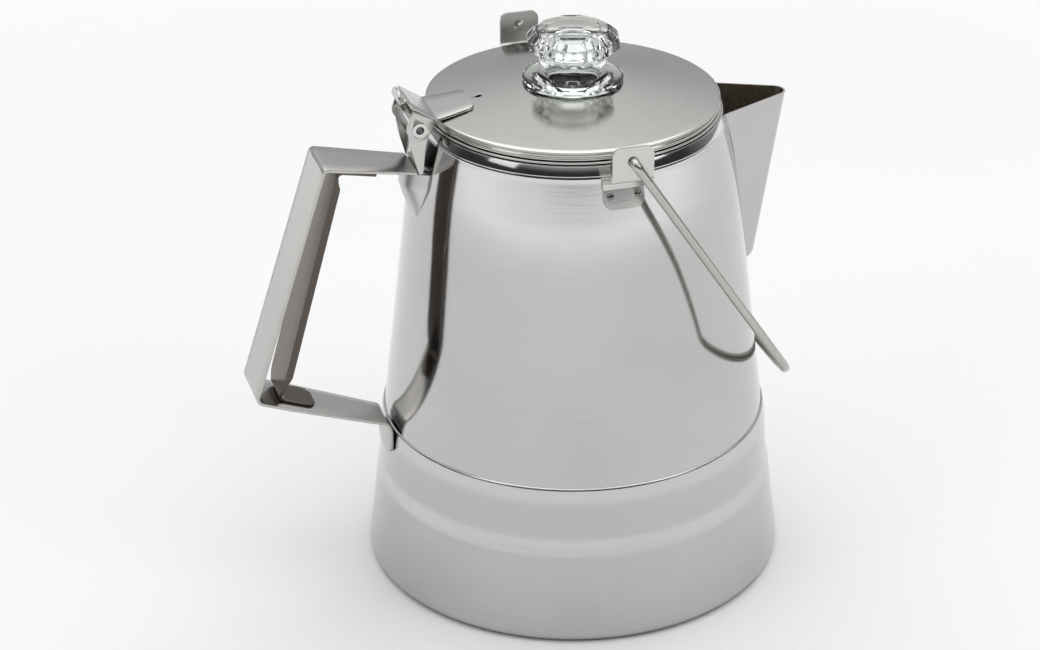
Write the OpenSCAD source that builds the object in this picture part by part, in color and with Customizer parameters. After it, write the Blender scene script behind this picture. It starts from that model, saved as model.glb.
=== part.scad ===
// Stainless camping coffee percolator: a tapered pot on a stepped base pan, a
// wedge-shaped spout, a strap handle, a hinged lid with a glass knob, a wire
// bail on two ears, and the pump stem, basket and basket cover inside.
//
// Origin: centre of the base's underside. +Z is up, +X points to the spout,
// -X to the handle, and the two bail ears stand on the Y axis.
// All sizes are in millimetres.

/* [Base pan] */
// Outer radius of the base pan at its widest
base_r = 94; // [93:0.5:95]
// Radius of the rounded corner between the floor and the wall
base_corner = 4.4; // [3:0.2:6]
// Height where the lower step band starts
band_z = 42; // [38:1:45]
// Height where the lower step band ends
band_top_z = 50; // [48:1:53]
// Outer radius of the pan just above the lower step band
band_r = 87.9; // [87.7:0.1:88.4]
// Outer radius of the pan where its collar starts
collar_r = 87.1; // [86.9:0.1:87.4]
// Height where the collar starts
collar_z = 68; // [67:0.5:69]
// Thickness of the pan's floor
floor_t = 1.2; // [0.8:0.1:2]

/* [Body shell] */
// Outer radius of the shell at the top edge of the pan's collar
body_r = 85.4; // [85.2:0.1:85.6]
// Height of the top edge of the pan's collar
seam_z = 73.5; // [72:0.5:75]
// Radius lost for each millimetre of height
taper = 0.119; // [0.117:0.001:0.121]
// Height where the wall starts to curve in to the neck
neck_z = 165; // [160:1:170]
// How fast the neck curves in, per square millimetre
neck_curve = 0.001384; // [0.0013:0.00001:0.00145]
// Sheet thickness of the pot
wall = 0.9; // [0.7:0.1:1]
// Height of the centre of the rolled rim
rim_z = 213.3; // [213:0.1:213.4]
// Radius of the circle that the rolled rim's centre follows
rim_r = 64.2; // [64:0.1:64.3]
// Radius of the rolled rim's own section
bead = 2.2; // [2:0.1:2.2]
// Radius of each strainer hole behind the spout
strainer_r = 1.5; // [1:0.1:2]

/* [Spout] */
// Reach of the spout's tip from the pot's axis
spout_x = 98.3; // [96:0.5:102]
// Height of the spout's open top
spout_top = 210.8; // [209:0.2:211]
// Distance of the spout's lower corner from the axis
spout_foot_x = 85.8; // [85:0.2:87]
// Height of the spout's lower corner
spout_foot_z = 137; // [134:1:142]
// Radius of the rounded lip, in plan
spout_lip = 5.5; // [4:0.5:7]
// Half of the angle between the spout's two cheeks
spout_half = 25; // [22:1:28]

/* [Handle] */
// Thickness of the strap
strap_t = 1.5; // [1.2:0.1:1.8]
// Width of the strap at the grip
strap_w = 26.5; // [25:0.5:28]
// Width of the strap where the upper arm meets the pot
strap_top_w = 22; // [20:0.5:22.5]
// Width of the strap's foot on the pan
strap_foot_w = 20.5; // [18:0.5:22]
// Distance of the upper corner from the pot's axis
strap_top_x = 113.6; // [111:0.2:115]
// Height of the upper corner
strap_top_z = 205.6; // [204:0.2:207]
// Distance of the lower corner from the pot's axis
strap_low_x = 148; // [146:0.5:150]
// Height of the lower corner
strap_low_z = 100; // [98:0.5:102]
// Sheet thickness of the inner grip strip
grip_t = 1.2; // [1:0.1:1.4]
// Width of the inner grip strip
grip_w = 23; // [21:0.5:24]
// Depth of the grip strip's turned edges
grip_edge = 2.6; // [2:0.1:3]

/* [Lid] */
// Radius of the lid's edge
lid_r = 63.7; // [63.3:0.1:63.8]
// Height of the lid's edge
lid_edge_z = 221.2; // [221:0.1:221.4]
// Height of the flat seat under the knob
lid_seat_z = 227.5; // [227:0.1:228]
// Radius of the flat seat under the knob
lid_seat_r = 22.5; // [22:0.1:23]
// How far the dome bulges above a straight cone
lid_bulge = 0.3; // [0:0.05:0.4]
// Sheet thickness of the lid
lid_t = 0.9; // [0.7:0.1:1]
// Outer radius of the skirt that drops into the mouth
skirt_r = 60.5; // [59:0.1:60.8]
// Height of the skirt's lower edge
skirt_z = 207; // [206.8:0.1:209]
// Radius of the steam vent
vent_r = 1.5; // [1:0.1:1.8]

/* [Glass knob] */
// Radius of the hole in the lid for the knob
knob_hole_r = 15; // [14.8:0.1:15.4]
// Radius of the knob's flange
knob_flange_r = 21.9; // [21:0.1:22.4]
// Radius of the knob's neck
knob_neck_r = 14.6; // [14:0.1:15]
// Radius of the crown where it is widest
knob_crown_r = 20.5; // [19:0.1:21]
// Height of the crown's top face
knob_top_z = 251.5; // [250:0.1:253]
// Number of facets round the crown
knob_facets = 12; // [8:1:16]

/* [Hinge] */
// Distance of the hinge pin from the pot's axis
hinge_x = 72.1; // [71.6:0.1:72.6]
// Height of the hinge pin
hinge_z = 218.9; // [218.5:0.1:219.3]
// Outer radius of the hinge pin
pin_r = 2.3; // [2:0.1:2.3]
// Sheet thickness of the hinge's two leaves
hinge_t = 1.2; // [1:0.1:1.2]

/* [Bail and its ears] */
// Distance of each ear's upright tab from the pot's axis
ear_y = 79.8; // [79.4:0.1:80.2]
// Width of each ear
ear_w = 18; // [16:1:20]
// Thickness of each ear
ear_t = 1.5; // [1.2:0.1:1.6]
// Height of the bail's pivot
pivot_z = 223; // [222:0.1:224]
// Radius of the bail's wire
wire_r = 2; // [1.6:0.1:2]
// Distance of each straight leg from the pot's axis
leg_y = 83.2; // [83:0.1:84]
// Distance from the pivot to the top of the bail's arch
bail_reach = 155.2; // [155:0.2:158]
// Radius of the two corners between the legs and the arch
corner_r = 11.2; // [8:0.4:14]
// Angle at which the bail rests, measured from straight down
bail_rest = 33.4; // [33.4:0.2:36]

/* [Pump and basket] */
// Outer radius of the pump stem
stem_r = 4; // [3.6:0.1:4]
// Height of the stem's open top
stem_top = 218.5; // [215:0.5:219]
// Radius of the pump's foot
foot_r = 30; // [26:1:34]
// Height of the underside of the basket
basket_z = 150; // [146:1:156]
// Height of the basket's rim
basket_top = 203.5; // [200:0.5:204]
// Outer radius of the basket at its floor
basket_low_r = 46; // [42:1:48]
// Outer radius of the basket at its rim
basket_r = 50; // [48:0.5:52]

/* [Hidden] */

$fn = 96;
contact = 0.05;
steel = [0.74, 0.74, 0.76];
bright = [0.80, 0.80, 0.81];
satin = [0.66, 0.65, 0.63];
brown = [0.36, 0.31, 0.28];
wire = [0.58, 0.57, 0.55];
clear_glass = [0.86, 0.92, 0.89, 0.45];
tinned = [0.70, 0.71, 0.72];

hinge = [-hinge_x, hinge_z];
vent_x = -42;
weld_r = 1.6;
bend_steps = 6;
leg_turn = 3;
arch_half = atan(3 / 4);
corner_u = leg_y - corner_r;
arch_r = corner_r + corner_u / sin(arch_half);
arch_s = bail_reach - arch_r;
corner_s = arch_s + corner_u / tan(arch_half);

// ---- curves -------------------------------------------------------------

// Outer radius of the pot's wall at height z
function wall_r(z) =
  body_r - taper * (z - seam_z) - (z > neck_z ? neck_curve * pow(z - neck_z, 2) : 0);

// Height of the lid's dome at radius r
function dome_z(r) =
  let (t = (lid_r - r) / (lid_r - lid_seat_r))
  lid_edge_z + (lid_seat_z - lid_edge_z) * t + 4 * lid_bulge * t * (1 - t);

function unit(v) = v / norm(v);
function left(v) = [-v[1], v[0]];

// Points of a bend of radius r that replaces the corner q between p and s
function bend_points(p, q, s, r) =
  let (
    a = unit(p - q),
    b = unit(s - q),
    half = acos(a * b) / 2,
    sweep = 180 - 2 * half,
    centre = q + unit(a + b) * r / sin(half),
    from = unit(q + a * r / tan(half) - centre),
    to = unit(q + b * r / tan(half) - centre)
  )
  [
    for (i = [0:bend_steps])
      let (t = i / bend_steps)
      centre + r * (from * sin(sweep * (1 - t)) + to * sin(sweep * t)) / sin(sweep)
  ];

// An open path whose inner corners are rounded, one radius for each point
function bent(path, radii) = [
  for (i = [0:len(path) - 1])
    each (i == 0 || i == len(path) - 1 || radii[i] == 0)
      ? [path[i]]
      : bend_points(path[i - 1], path[i], path[i + 1], radii[i])
];

// Point i of an open path, moved d to the left of the path
function beside(path, i, d) =
  let (
    last = len(path) - 1,
    a = i > 0 ? unit(path[i] - path[i - 1]) : unit(path[1] - path[0]),
    b = i < last ? unit(path[i + 1] - path[i]) : a,
    m = unit(left(a) + left(b))
  )
  path[i] + m * d / (m * left(a));

// Outline of a strip that runs from d0 to d1 beside an open path
function ribbon(path, d0, d1) = concat(
  [for (i = [0:len(path) - 1]) beside(path, i, d1)],
  [for (i = [len(path) - 1:-1:0]) beside(path, i, d0)]
);

// ---- shared shapes ------------------------------------------------------

// Sheet bent along a path in the XZ plane, w wide, centred on y = y0
module sheet_xz(path, t, w, y0 = 0) {
  translate([0, y0, 0])
    rotate([90, 0, 0])
      linear_extrude(w, center = true)
        polygon(ribbon(path, -t / 2, t / 2));
}

// Plan outline that runs from x0 to x1, with its two corners at x1 rounded
module rounded_plan(x0, x1, half, r) {
  way = sign(x1 - x0);
  polygon([[x0, -half], [x0, half], [x1 - way * r, half], [x1 - way * r, -half]]);
  polygon([[x0, r - half], [x0, half - r], [x1, half - r], [x1, r - half]]);
  for (s = [-1, 1])
    translate([x1 - way * r, s * (half - r)])
      circle(r, $fn = 32);
}

// Round bar along Y
module bar_y(x, z, r, y0, y1) {
  translate([x, y0, z])
    rotate([-90, 0, 0])
      cylinder(h = y1 - y0, r = r);
}

// Shallow conical dimple with its mouth at z = 0
module dimple(r, depth) {
  translate([0, 0, -depth])
    cylinder(h = depth + 0.2, r1 = r * 0.55, r2 = r * 1.1, $fn = 32);
}

// Plate that hugs the pot between two heights, centred on an azimuth
module hugging_plate(profile, half_angle, azimuth) {
  rotate([0, 0, azimuth - half_angle])
    rotate_extrude(angle = 2 * half_angle)
      polygon(profile);
}

// Solid that fills the pot's outline, grown by gap
module pot_outline(z0, z1, gap) {
  steps = 24;
  rotate_extrude()
    polygon(concat(
      [[0, z0]],
      [for (i = [0:steps]) let (z = z0 + (z1 - z0) * i / steps) [wall_r(z) + gap, z]],
      [[0, z1]]
    ));
}

// ---- pot ----------------------------------------------------------------

// Tapered shell with its neck, its rolled rim and the strainer holes
module body_shell() {
  low = seam_z - 7;
  top = rim_z - 0.6;
  heights = concat([low, seam_z, 110, 140, neck_z], [for (z = [neck_z + 4:4:top - 1]) z], [top]);
  outside = [for (z = heights) [wall_r(z), z]];
  inside = [for (i = [len(heights) - 1:-1:0]) [wall_r(heights[i]) - wall, heights[i]]];
  color(steel)
    difference() {
      union() {
        rotate_extrude($fn = 180)
          polygon(concat(outside, inside));
        rotate_extrude($fn = 180)
          translate([rim_r, rim_z])
            circle(bead, $fn = 32);
      }
      for (row = [0:4], col = [-1.5:1.5])
        translate([55, col * 4, 152 + row * 9])
          rotate([0, 90, 0])
            cylinder(h = 40, r = strainer_r, $fn = 24);
    }
}

// Stepped pan that the shell stands in
module base_pan() {
  corner = [
    for (i = [0:8])
      let (a = -90 + i * 94 / 8)
      [base_r - base_corner + base_corner * cos(a), base_corner + base_corner * sin(a)]
  ];
  outside = [
    [base_r - 4.3, band_z - 1],
    [base_r - 4.5, band_z + 1.5],
    [band_r + 0.3, band_top_z - 1.5],
    [band_r, band_top_z + 1],
    [collar_r, collar_z - 0.6],
    [collar_r - 0.25, collar_z + 1],
    [wall_r(seam_z) + 0.8, seam_z]
  ];
  inside = [
    [wall_r(seam_z) + contact, seam_z],
    [wall_r(seam_z - 7.2) + contact, seam_z - 7.2],
    [wall_r(seam_z - 7.2) - wall, seam_z - 8],
    [band_r - wall, band_top_z + 1],
    [band_r + 0.3 - wall, band_top_z - 1.5],
    [base_r - 4.5 - wall, band_z + 1.5],
    [base_r - 4.3 - wall, band_z - 1],
    [base_r - wall - 0.1, base_corner + 0.6],
    [base_r - base_corner, floor_t]
  ];
  color(bright)
    rotate_extrude($fn = 180)
      polygon(concat([[0, 0]], corner, outside, inside, [[0, floor_t]]));
}

// Plan section of the spout at one height, as a solid slice
module spout_slice(tip, lip, z) {
  centre = tip - lip;
  back = 40;
  reach = (centre - back) * tan(spout_half) + lip / cos(spout_half);
  translate([0, 0, z])
    linear_extrude(0.02)
      polygon(concat(
        [[back, -reach]],
        [for (i = [-8:8]) let (a = i * (90 - spout_half) / 8) [centre + lip * cos(a), lip * sin(a)]],
        [[back, reach]]
      ));
}

// Folded spout: a hollow wedge, open at the top, closed at its lower end
module spout() {
  drop = spout_foot_z - 5.5;
  color(steel)
    difference() {
      hull() {
        spout_slice(spout_x, spout_lip, spout_top - 0.02);
        spout_slice(spout_foot_x, spout_lip, spout_foot_z);
        spout_slice(spout_foot_x - 1.2, spout_lip, spout_foot_z - 2.8);
        spout_slice(79, spout_lip, drop);
      }
      hull() {
        spout_slice(spout_x - wall + 0.3, spout_lip - wall, spout_top + 1);
        spout_slice(spout_foot_x - wall, spout_lip - wall, spout_foot_z);
        spout_slice(79 - wall, spout_lip - wall, drop + 1.4);
      }
      pot_outline(drop - 8, spout_top + 4, contact);
    }
}

// ---- handle -------------------------------------------------------------

strap_path = bent(
  [
    [-73.1, 197.8],
    [-strap_top_x, strap_top_z],
    [-strap_low_x, strap_low_z],
    [-89.2, 77.9],
    [-88.3, 74]
  ],
  [0, 1.6, 3, 3, 0]
);

// Line of the upper tongue, from the underside of the arm to the wall
tongue_path = bent(
  [
    [-77.3, 197.6],
    [-77.3, 190],
    [-wall_r(171) - strap_t / 2 - 0.3, 171]
  ],
  [0, 14, 0]
);

// Channel-shaped saddle under the arm: a front plate and two cheeks that meet the wall
module arm_saddle() {
  half = strap_top_w / 2;
  cheek = concat(
    [[-77.3, 196.6]],
    [for (p = tongue_path) if (p[1] < 196) p],
    [[-66, 171], [-66, 196.6]]
  );
  color(steel)
    difference() {
      intersection() {
        union() {
          sheet_xz(tongue_path, strap_t, strap_top_w);
          for (s = [-1, 1])
            translate([0, s * (half - 0.6), 0])
              rotate([90, 0, 0])
                linear_extrude(1.2, center = true)
                  polygon(cheek);
        }
        translate([-90, 0, 0])
          rotate([90, 0, 90])
            linear_extrude(30)
              union() {
                translate([-half, 176])
                  square([strap_top_w, 30]);
                translate([4 - half, 171])
                  square([strap_top_w - 8, 30]);
                for (s = [-1, 1])
                  translate([s * (half - 5), 176])
                    circle(5, $fn = 32);
              }
      }
      pot_outline(165, 206, contact);
    }
}

// Outer strap: arm, grip, lower arm and foot in one band
module handle_strap() {
  foot_half = asin(strap_foot_w / 2 / 88);
  foot = [
    for (z = [62.5, 67.4]) [collar_r + 0.045 * (collar_z - z) + contact, z]
  ];
  color(satin)
    union() {
      intersection() {
        sheet_xz(strap_path, strap_t, strap_w);
        union() {
          translate([0, 0, 150])
            linear_extrude(70)
              polygon([
                [-160, -strap_w / 2],
                [-strap_top_x + 4, -strap_w / 2],
                [-78, -strap_top_w / 2],
                [-60, -strap_top_w / 2],
                [-60, strap_top_w / 2],
                [-78, strap_top_w / 2],
                [-strap_top_x + 4, strap_w / 2],
                [-160, strap_w / 2]
              ]);
          translate([0, 0, 50])
            linear_extrude(100)
              polygon([
                [-160, -strap_w / 2],
                [-132, -strap_w / 2],
                [-92, -strap_foot_w / 2],
                [-60, -strap_foot_w / 2],
                [-60, strap_foot_w / 2],
                [-92, strap_foot_w / 2],
                [-132, strap_w / 2],
                [-160, strap_w / 2]
              ]);
        }
      }
      hugging_plate(
        [
          foot[0],
          foot[0] + [strap_t, 0],
          foot[1] + [strap_t, 0],
          [collar_r + contact + strap_t - 0.3, 74.4],
          [collar_r + contact, 74.4],
          foot[1]
        ],
        foot_half, 180
      );
    }
}

// Line that the inner grip strip follows
grip_path = bent(
  [
    [-91, 199.75],
    [-107.4, 202.92],
    [-137.2, 97.5],
    [-120.8, 91.34]
  ],
  [0, 2.2, 3, 0]
);

// Inner grip strip, with turned edges and a tab on each arm of the strap
module handle_grip() {
  top = [-108.9, 197.6];
  low = [-134.7, 106.7];
  color(brown)
    difference() {
      intersection() {
        union() {
          sheet_xz(grip_path, grip_t, grip_w);
          for (s = [-1, 1])
            translate([0, s * (grip_w - grip_t) / 2, 0])
              rotate([90, 0, 0])
                linear_extrude(grip_t, center = true)
                  polygon(ribbon([top, low], 0, grip_edge - grip_t / 2));
        }
        union() {
          translate([-160, -grip_w / 2, 104])
            cube([100, grip_w, 120]);
          translate([0, 0, 80])
            linear_extrude(30)
              rounded_plan(-160, -121, 8.5, 4);
        }
      }
      for (s = [-1, 1])
        translate([-127, s * 4.5, 94.7])
          rotate([0, 20.5, 0])
            dimple(weld_r, 0.3);
    }
}

// ---- lid hinge ----------------------------------------------------------

// Fixed leaf: base plate, web and two ears that carry the pin
module hinge_bracket() {
  ear_in = 10.3;
  color(satin)
    difference() {
      union() {
        translate([-72.2, -8, 197.6])
          cube([8, 16, 1.4]);
        translate([-72.3, -ear_in - hinge_t, 197.6])
          cube([1.2, 2 * (ear_in + hinge_t), 12]);
        for (s = [-1, 1])
          translate([0, s * (ear_in + hinge_t / 2), 0])
            rotate([90, 0, 0])
              linear_extrude(hinge_t, center = true) {
                polygon([
                  [-72.3, 197.6],
                  [-74.9, 207],
                  [-hinge_x - 4.6, hinge_z - 1.4],
                  [-hinge_x + 4.4, hinge_z - 1.9],
                  [-69.2, 210],
                  [-70.6, 197.6]
                ]);
                translate(hinge)
                  circle(4.8, $fn = 48);
              }
      }
      pot_outline(180, 212, contact);
      bar_y(hinge[0], hinge[1], pin_r + 0.05, -20, 20);
    }
}

// Tubular rivet on which the lid turns
module hinge_pin() {
  color(bright)
    difference() {
      union() {
        bar_y(hinge[0], hinge[1], pin_r, -14.1, 14.1);
        bar_y(hinge[0], hinge[1], 3.2, 13.4, 14.1);
        bar_y(hinge[0], hinge[1], 3.2, -14.1, -13.4);
      }
      bar_y(hinge[0], hinge[1], pin_r - 0.5, -20, 20);
    }
}

leaf_end = -46.3;
leaf_path = bent(
  [
    [-78.1, 233.2],
    [-78.9, 227.2],
    [-75.2, 229.3],
    [-64.3, 222.1],
    [leaf_end, dome_z(-leaf_end) + hinge_t / 2 + contact]
  ],
  [0, 1.2, 1.8, 2, 0]
);

// Moving leaf: welded to the lid, with two cheeks on the pin and a thumb tab
module lid_leaf() {
  color(satin)
    difference() {
      union() {
        intersection() {
          sheet_xz(leaf_path, hinge_t, 26.2);
          union() {
            translate([0, 0, 215])
              linear_extrude(16)
                union() {
                  translate([-75.4, -13.1])
                    square([11.4, 26.2]);
                  intersection() {
                    polygon([[-64.1, -13.1], [-46, -9.9], [-46, 9.9], [-64.1, 13.1]]);
                    rounded_plan(-64.1, leaf_end + 0.1, 13.1, 6);
                  }
                }
            translate([-74.5, 0, 226])
              rotate([0, -90, 0])
                linear_extrude(15.5)
                  rounded_plan(0, 7.1, 5.5, 3.5);
          }
        }
        for (s = [-1, 1])
          translate([0, s * 12.5, 0])
            rotate([90, 0, 0])
              linear_extrude(1.2, center = true) {
                polygon([
                  [-74.8, 228.4],
                  [-64.3, 222],
                  [-67, 217],
                  [-hinge_x - 5.2, hinge_z + 1.5]
                ]);
                translate(hinge)
                  circle(5.4, $fn = 48);
              }
      }
      bar_y(hinge[0], hinge[1], pin_r + 0.08, -20, 20);
      for (s = [-1, 1])
        translate([-50.5, s * 5.6, dome_z(50.5) + hinge_t + 0.5])
          rotate([0, -4, 0])
            dimple(weld_r, 0.35);
    }
}

// ---- lid ----------------------------------------------------------------

// Domed top with its ribbed edge, the knob's bayonet hole and the vent
module lid_dome() {
  radii = [for (i = [0:8]) lid_seat_r + (lid_r - 0.4 - lid_seat_r) * i / 8];
  top = [for (r = radii) [r, dome_z(r)]];
  under = [for (i = [8:-1:0]) [min(radii[i], lid_r - 1.5), dome_z(radii[i]) - lid_t]];
  rib = [
    [lid_r, lid_edge_z - 0.4],
    [lid_r, lid_edge_z - 0.9],
    [lid_r - 0.55, lid_edge_z - 1.5],
    [lid_r, lid_edge_z - 2.1],
    [lid_r + 0.05, lid_edge_z - 2.7],
    [lid_r - 0.5, lid_edge_z - 3.4],
    [lid_r - 0.5, 217],
    [lid_r - 1.5, 217]
  ];
  color(bright)
    difference() {
      rotate_extrude($fn = 180)
        polygon(concat(
          [[knob_hole_r, lid_seat_z - lid_t], [knob_hole_r, lid_seat_z]],
          top, rib, under
        ));
      intersection() {
        translate([-2.8, -17.6, 220])
          cube([5.6, 35.2, 10]);
        translate([0, 0, 219])
          cylinder(h = 12, r = 17.5);
      }
      translate([vent_x, 1.5, 215])
        cylinder(h = 15, r = vent_r, $fn = 24);
    }
}

// Lip that rests on the rim, and the skirt that drops into the mouth
module lid_skirt() {
  color(bright)
    rotate_extrude($fn = 180)
      polygon([
        [skirt_r - lid_t, skirt_z],
        [skirt_r - 0.2, skirt_z],
        [skirt_r, skirt_z + 0.4],
        [skirt_r, 215.3],
        [skirt_r + 0.4, 215.75],
        [lid_r + 0.3, 215.75],
        [lid_r + 0.5, 216],
        [lid_r + 0.5, 216.6],
        [lid_r + 0.2, 216.9],
        [skirt_r - lid_t, 216.9]
      ]);
}

// Hollow pressed-glass knob with a faceted crown and a bayonet barrel
module knob() {
  barrel_z = 220.5;
  color(clear_glass)
    difference() {
      union() {
        intersection() {
          rotate_extrude()
            polygon([
              [0, 238],
              [knob_neck_r, 238],
              [17, 241],
              [knob_crown_r, 243.5],
              [knob_crown_r, 247.5],
              [knob_crown_r - 4, knob_top_z - 0.5],
              [knob_crown_r - 5.2, knob_top_z],
              [12.2, knob_top_z],
              [11.4, knob_top_z - 0.8],
              [8, knob_top_z - 1.7],
              [0, knob_top_z - 2]
            ]);
          linear_extrude(260)
            circle(knob_crown_r - 0.05, $fn = knob_facets);
        }
        rotate_extrude()
          polygon([
            [0, barrel_z],
            [14, barrel_z],
            [14.4, barrel_z + 0.4],
            [14.4, lid_seat_z + 0.1],
            [knob_flange_r - 0.8, lid_seat_z + 0.1],
            [knob_flange_r, lid_seat_z + 0.9],
            [knob_flange_r, lid_seat_z + 1.9],
            [knob_flange_r - 0.8, lid_seat_z + 2.8],
            [17.5, lid_seat_z + 3.1],
            [knob_neck_r + 0.4, lid_seat_z + 4.4],
            [knob_neck_r, lid_seat_z + 6],
            [knob_neck_r, 238.1],
            [0, 238.1]
          ]);
        intersection() {
          translate([-16.8, -2.2, 223.4])
            cube([33.6, 4.4, 2.7]);
          translate([0, 0, 223])
            cylinder(h = 4, r = 16.8);
        }
      }
      rotate_extrude()
        polygon([
          [0, barrel_z - 1],
          [11.2, barrel_z - 1],
          [11.2, 238],
          [10, 241.5],
          [7, 243.8],
          [0, 244.6]
        ]);
    }
}

// ---- bail ---------------------------------------------------------------

ear_path = bent(
  [
    [wall_r(206) + ear_t / 2 + contact, 206],
    [wall_r(209.4) + ear_t / 2 + 0.5, 209.4],
    [ear_y, 214.4],
    [ear_y, 230]
  ],
  [0, 1.6, 2, 0]
);

// Ear on the +Y side: a foot on the wall, a shelf and an upright pivot tab
module bail_ear() {
  foot_half = asin(ear_w / 2 / 68);
  heights = [for (z = [197.5:1.5:207.5]) z];
  foot = concat(
    [for (z = heights) [wall_r(z) + contact, z]],
    [for (i = [len(heights) - 1:-1:0]) [wall_r(heights[i]) + contact + ear_t, heights[i]]]
  );
  difference() {
    union() {
      intersection() {
        rotate([90, 0, 90])
          linear_extrude(ear_w, center = true)
            polygon(ribbon(ear_path, -ear_t / 2, ear_t / 2));
        rotate([90, 0, 0])
          linear_extrude(200, center = true)
            union() {
              translate([-ear_w / 2, 190])
                square([ear_w, 35.7]);
              translate([-ear_w / 2 + 3.5, 190])
                square([ear_w - 7, 39.2]);
              for (s = [-1, 1])
                translate([s * (ear_w / 2 - 3.5), 225.7])
                  circle(3.5, $fn = 32);
            }
      }
      intersection() {
        hugging_plate(foot, foot_half, 90);
        rotate([90, 0, 0])
          linear_extrude(200, center = true)
            union() {
              translate([-ear_w / 2, 201.5])
                square([ear_w, 20]);
              translate([-ear_w / 2 + 4, 190])
                square([ear_w - 8, 30]);
              for (s = [-1, 1])
                translate([s * (ear_w / 2 - 4), 201.5])
                  circle(4, $fn = 32);
            }
      }
    }
    pot_outline(190, 212, contact);
    bar_y(0, pivot_z, wire_r + 0.3, 70, 90);
  }
}

module ear_near() {
  color(satin)
    mirror([0, 1, 0])
      bail_ear();
}

module ear_far() {
  color(satin)
    bail_ear();
}

// Four domed rivet heads, two on each ear's foot
module ear_rivets() {
  z = 203;
  out = wall_r(z) + contact + ear_t;
  lean = atan(taper + 2 * neck_curve * (z - neck_z));
  color(bright)
    for (side = [-1, 1], s = [-1, 1])
      rotate([0, 0, side * 90 + s * 4.95])
        translate([out + 0.08, 0, z])
          rotate([0, 90 - lean, 0])
            rotate_extrude($fn = 32)
              polygon([[0, 0], [1.6, 0], [1.5, 0.35], [1.1, 0.65], [0.6, 0.8], [0, 0.85]]);
}

// Arc of wire in the local XY plane
module wire_arc(r, start, sweep) {
  rotate([0, 0, start])
    rotate_extrude(angle = sweep)
      translate([r, 0])
        circle(wire_r, $fn = 32);
}

// Wire bail: two hooks in the ears, two straight legs and an arch
module bail() {
  color(wire)
    translate([0, 0, pivot_z])
      rotate([0, -90 - bail_rest, 0])
        rotate([0, 0, 90]) {
          translate([0, arch_s, 0])
            wire_arc(arch_r, 90 - arch_half, 2 * arch_half);
          for (side = [0, 180])
            rotate([0, side, 0]) {
              translate([corner_u, corner_s, 0])
                wire_arc(corner_r, 0, 90 - arch_half);
              translate([leg_y, leg_turn, 0])
                rotate([-90, 0, 0])
                  cylinder(h = corner_s - leg_turn, r = wire_r, $fn = 32);
              translate([leg_y - leg_turn, leg_turn, 0])
                wire_arc(leg_turn, -90, 90);
              translate([76.4, 0, 0])
                rotate([-90, 0, -90])
                  cylinder(h = leg_y - leg_turn - 76.4, r = wire_r, $fn = 32);
            }
        }
}

// ---- pump and basket ----------------------------------------------------

// Open tube that carries the water up to the knob
module stem_tube() {
  color(tinned)
    translate([0, 0, 12])
      difference() {
        cylinder(h = stem_top - 12, r = stem_r);
        translate([0, 0, -1])
          cylinder(h = stem_top, r = stem_r - 0.8);
      }
}

// Bell-shaped foot that traps steam under the stem
module stem_foot() {
  base = floor_t + 0.1;
  color(tinned)
    difference() {
      rotate_extrude()
        polygon([
          [foot_r - 0.9, base],
          [foot_r, base],
          [foot_r, base + 2.4],
          [foot_r - 3, base + 5],
          [9, 14],
          [stem_r + 1.2, 17],
          [stem_r + 1.2, 24],
          [stem_r + 0.03, 24],
          [stem_r + 0.03, 16.4],
          [8.4, 13],
          [foot_r - 3.4, base + 4.1],
          [foot_r - 0.9, base + 2]
        ]);
      for (i = [0:3])
        rotate([0, 0, 45 + 90 * i])
          translate([foot_r - 3, 0, base])
            rotate([0, 90, 0])
              cylinder(h = 6, r = 1.6, $fn = 24);
    }
}

// Stop ring on the stem, on which the basket stands
module stem_collar() {
  color(tinned)
    translate([0, 0, basket_z - 3.6])
      difference() {
        cylinder(h = 3.5, r = 6.5);
        translate([0, 0, -1])
          cylinder(h = 6, r = stem_r + 0.03);
      }
}

// Rings of small holes through a flat plate
module perforations(first, last, pitch, r, z, h) {
  for (ring = [first:pitch:last])
    let (count = floor(ring * 0.9))
    for (i = [0:count - 1])
      rotate([0, 0, 360 * i / count])
        translate([ring, 0, z])
          cylinder(h = h, r = r, $fn = 16);
}

// Basket for the ground coffee, with a sleeve that slides on the stem
module basket() {
  color(tinned)
    difference() {
      rotate_extrude()
        polygon([
          [stem_r + 0.35, basket_z],
          [basket_low_r - 1.6, basket_z],
          [basket_low_r, basket_z + 1.6],
          [basket_r, basket_top - 1.4],
          [basket_r + 1.2, basket_top - 1.2],
          [basket_r + 1.2, basket_top],
          [basket_r - 0.8, basket_top],
          [basket_low_r - 0.8, basket_z + 2],
          [basket_low_r - 1.9, basket_z + 0.9],
          [stem_r + 1.4, basket_z + 0.9],
          [stem_r + 1.4, basket_top - 1],
          [stem_r + 0.35, basket_top - 1]
        ]);
      perforations(11, 40, 7, 1.3, basket_z - 1, 4);
    }
}

// Perforated cover that spreads the water over the coffee
module basket_cover() {
  base = basket_top + 0.1;
  color(tinned)
    difference() {
      rotate_extrude()
        polygon([
          [stem_r + 0.35, base],
          [basket_r + 0.6, base],
          [basket_r + 0.6, base + 0.8],
          [basket_r - 3, base + 0.8],
          [basket_r - 5, base + 1.8],
          [basket_r - 5.5, base + 0.8],
          [stem_r + 2, base + 0.8],
          [stem_r + 1.4, base + 2.5],
          [stem_r + 0.35, base + 2.5]
        ]);
      perforations(12, 40, 7, 1.3, base - 1, 4);
    }
}

body_shell();
base_pan();
spout();
handle_strap();
arm_saddle();
handle_grip();
hinge_bracket();
hinge_pin();
ear_near();
ear_far();
ear_rivets();
lid_dome();
lid_skirt();
lid_leaf();
knob();
bail();
stem_tube();
stem_foot();
stem_collar();
basket();
basket_cover();
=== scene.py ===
import math

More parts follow.
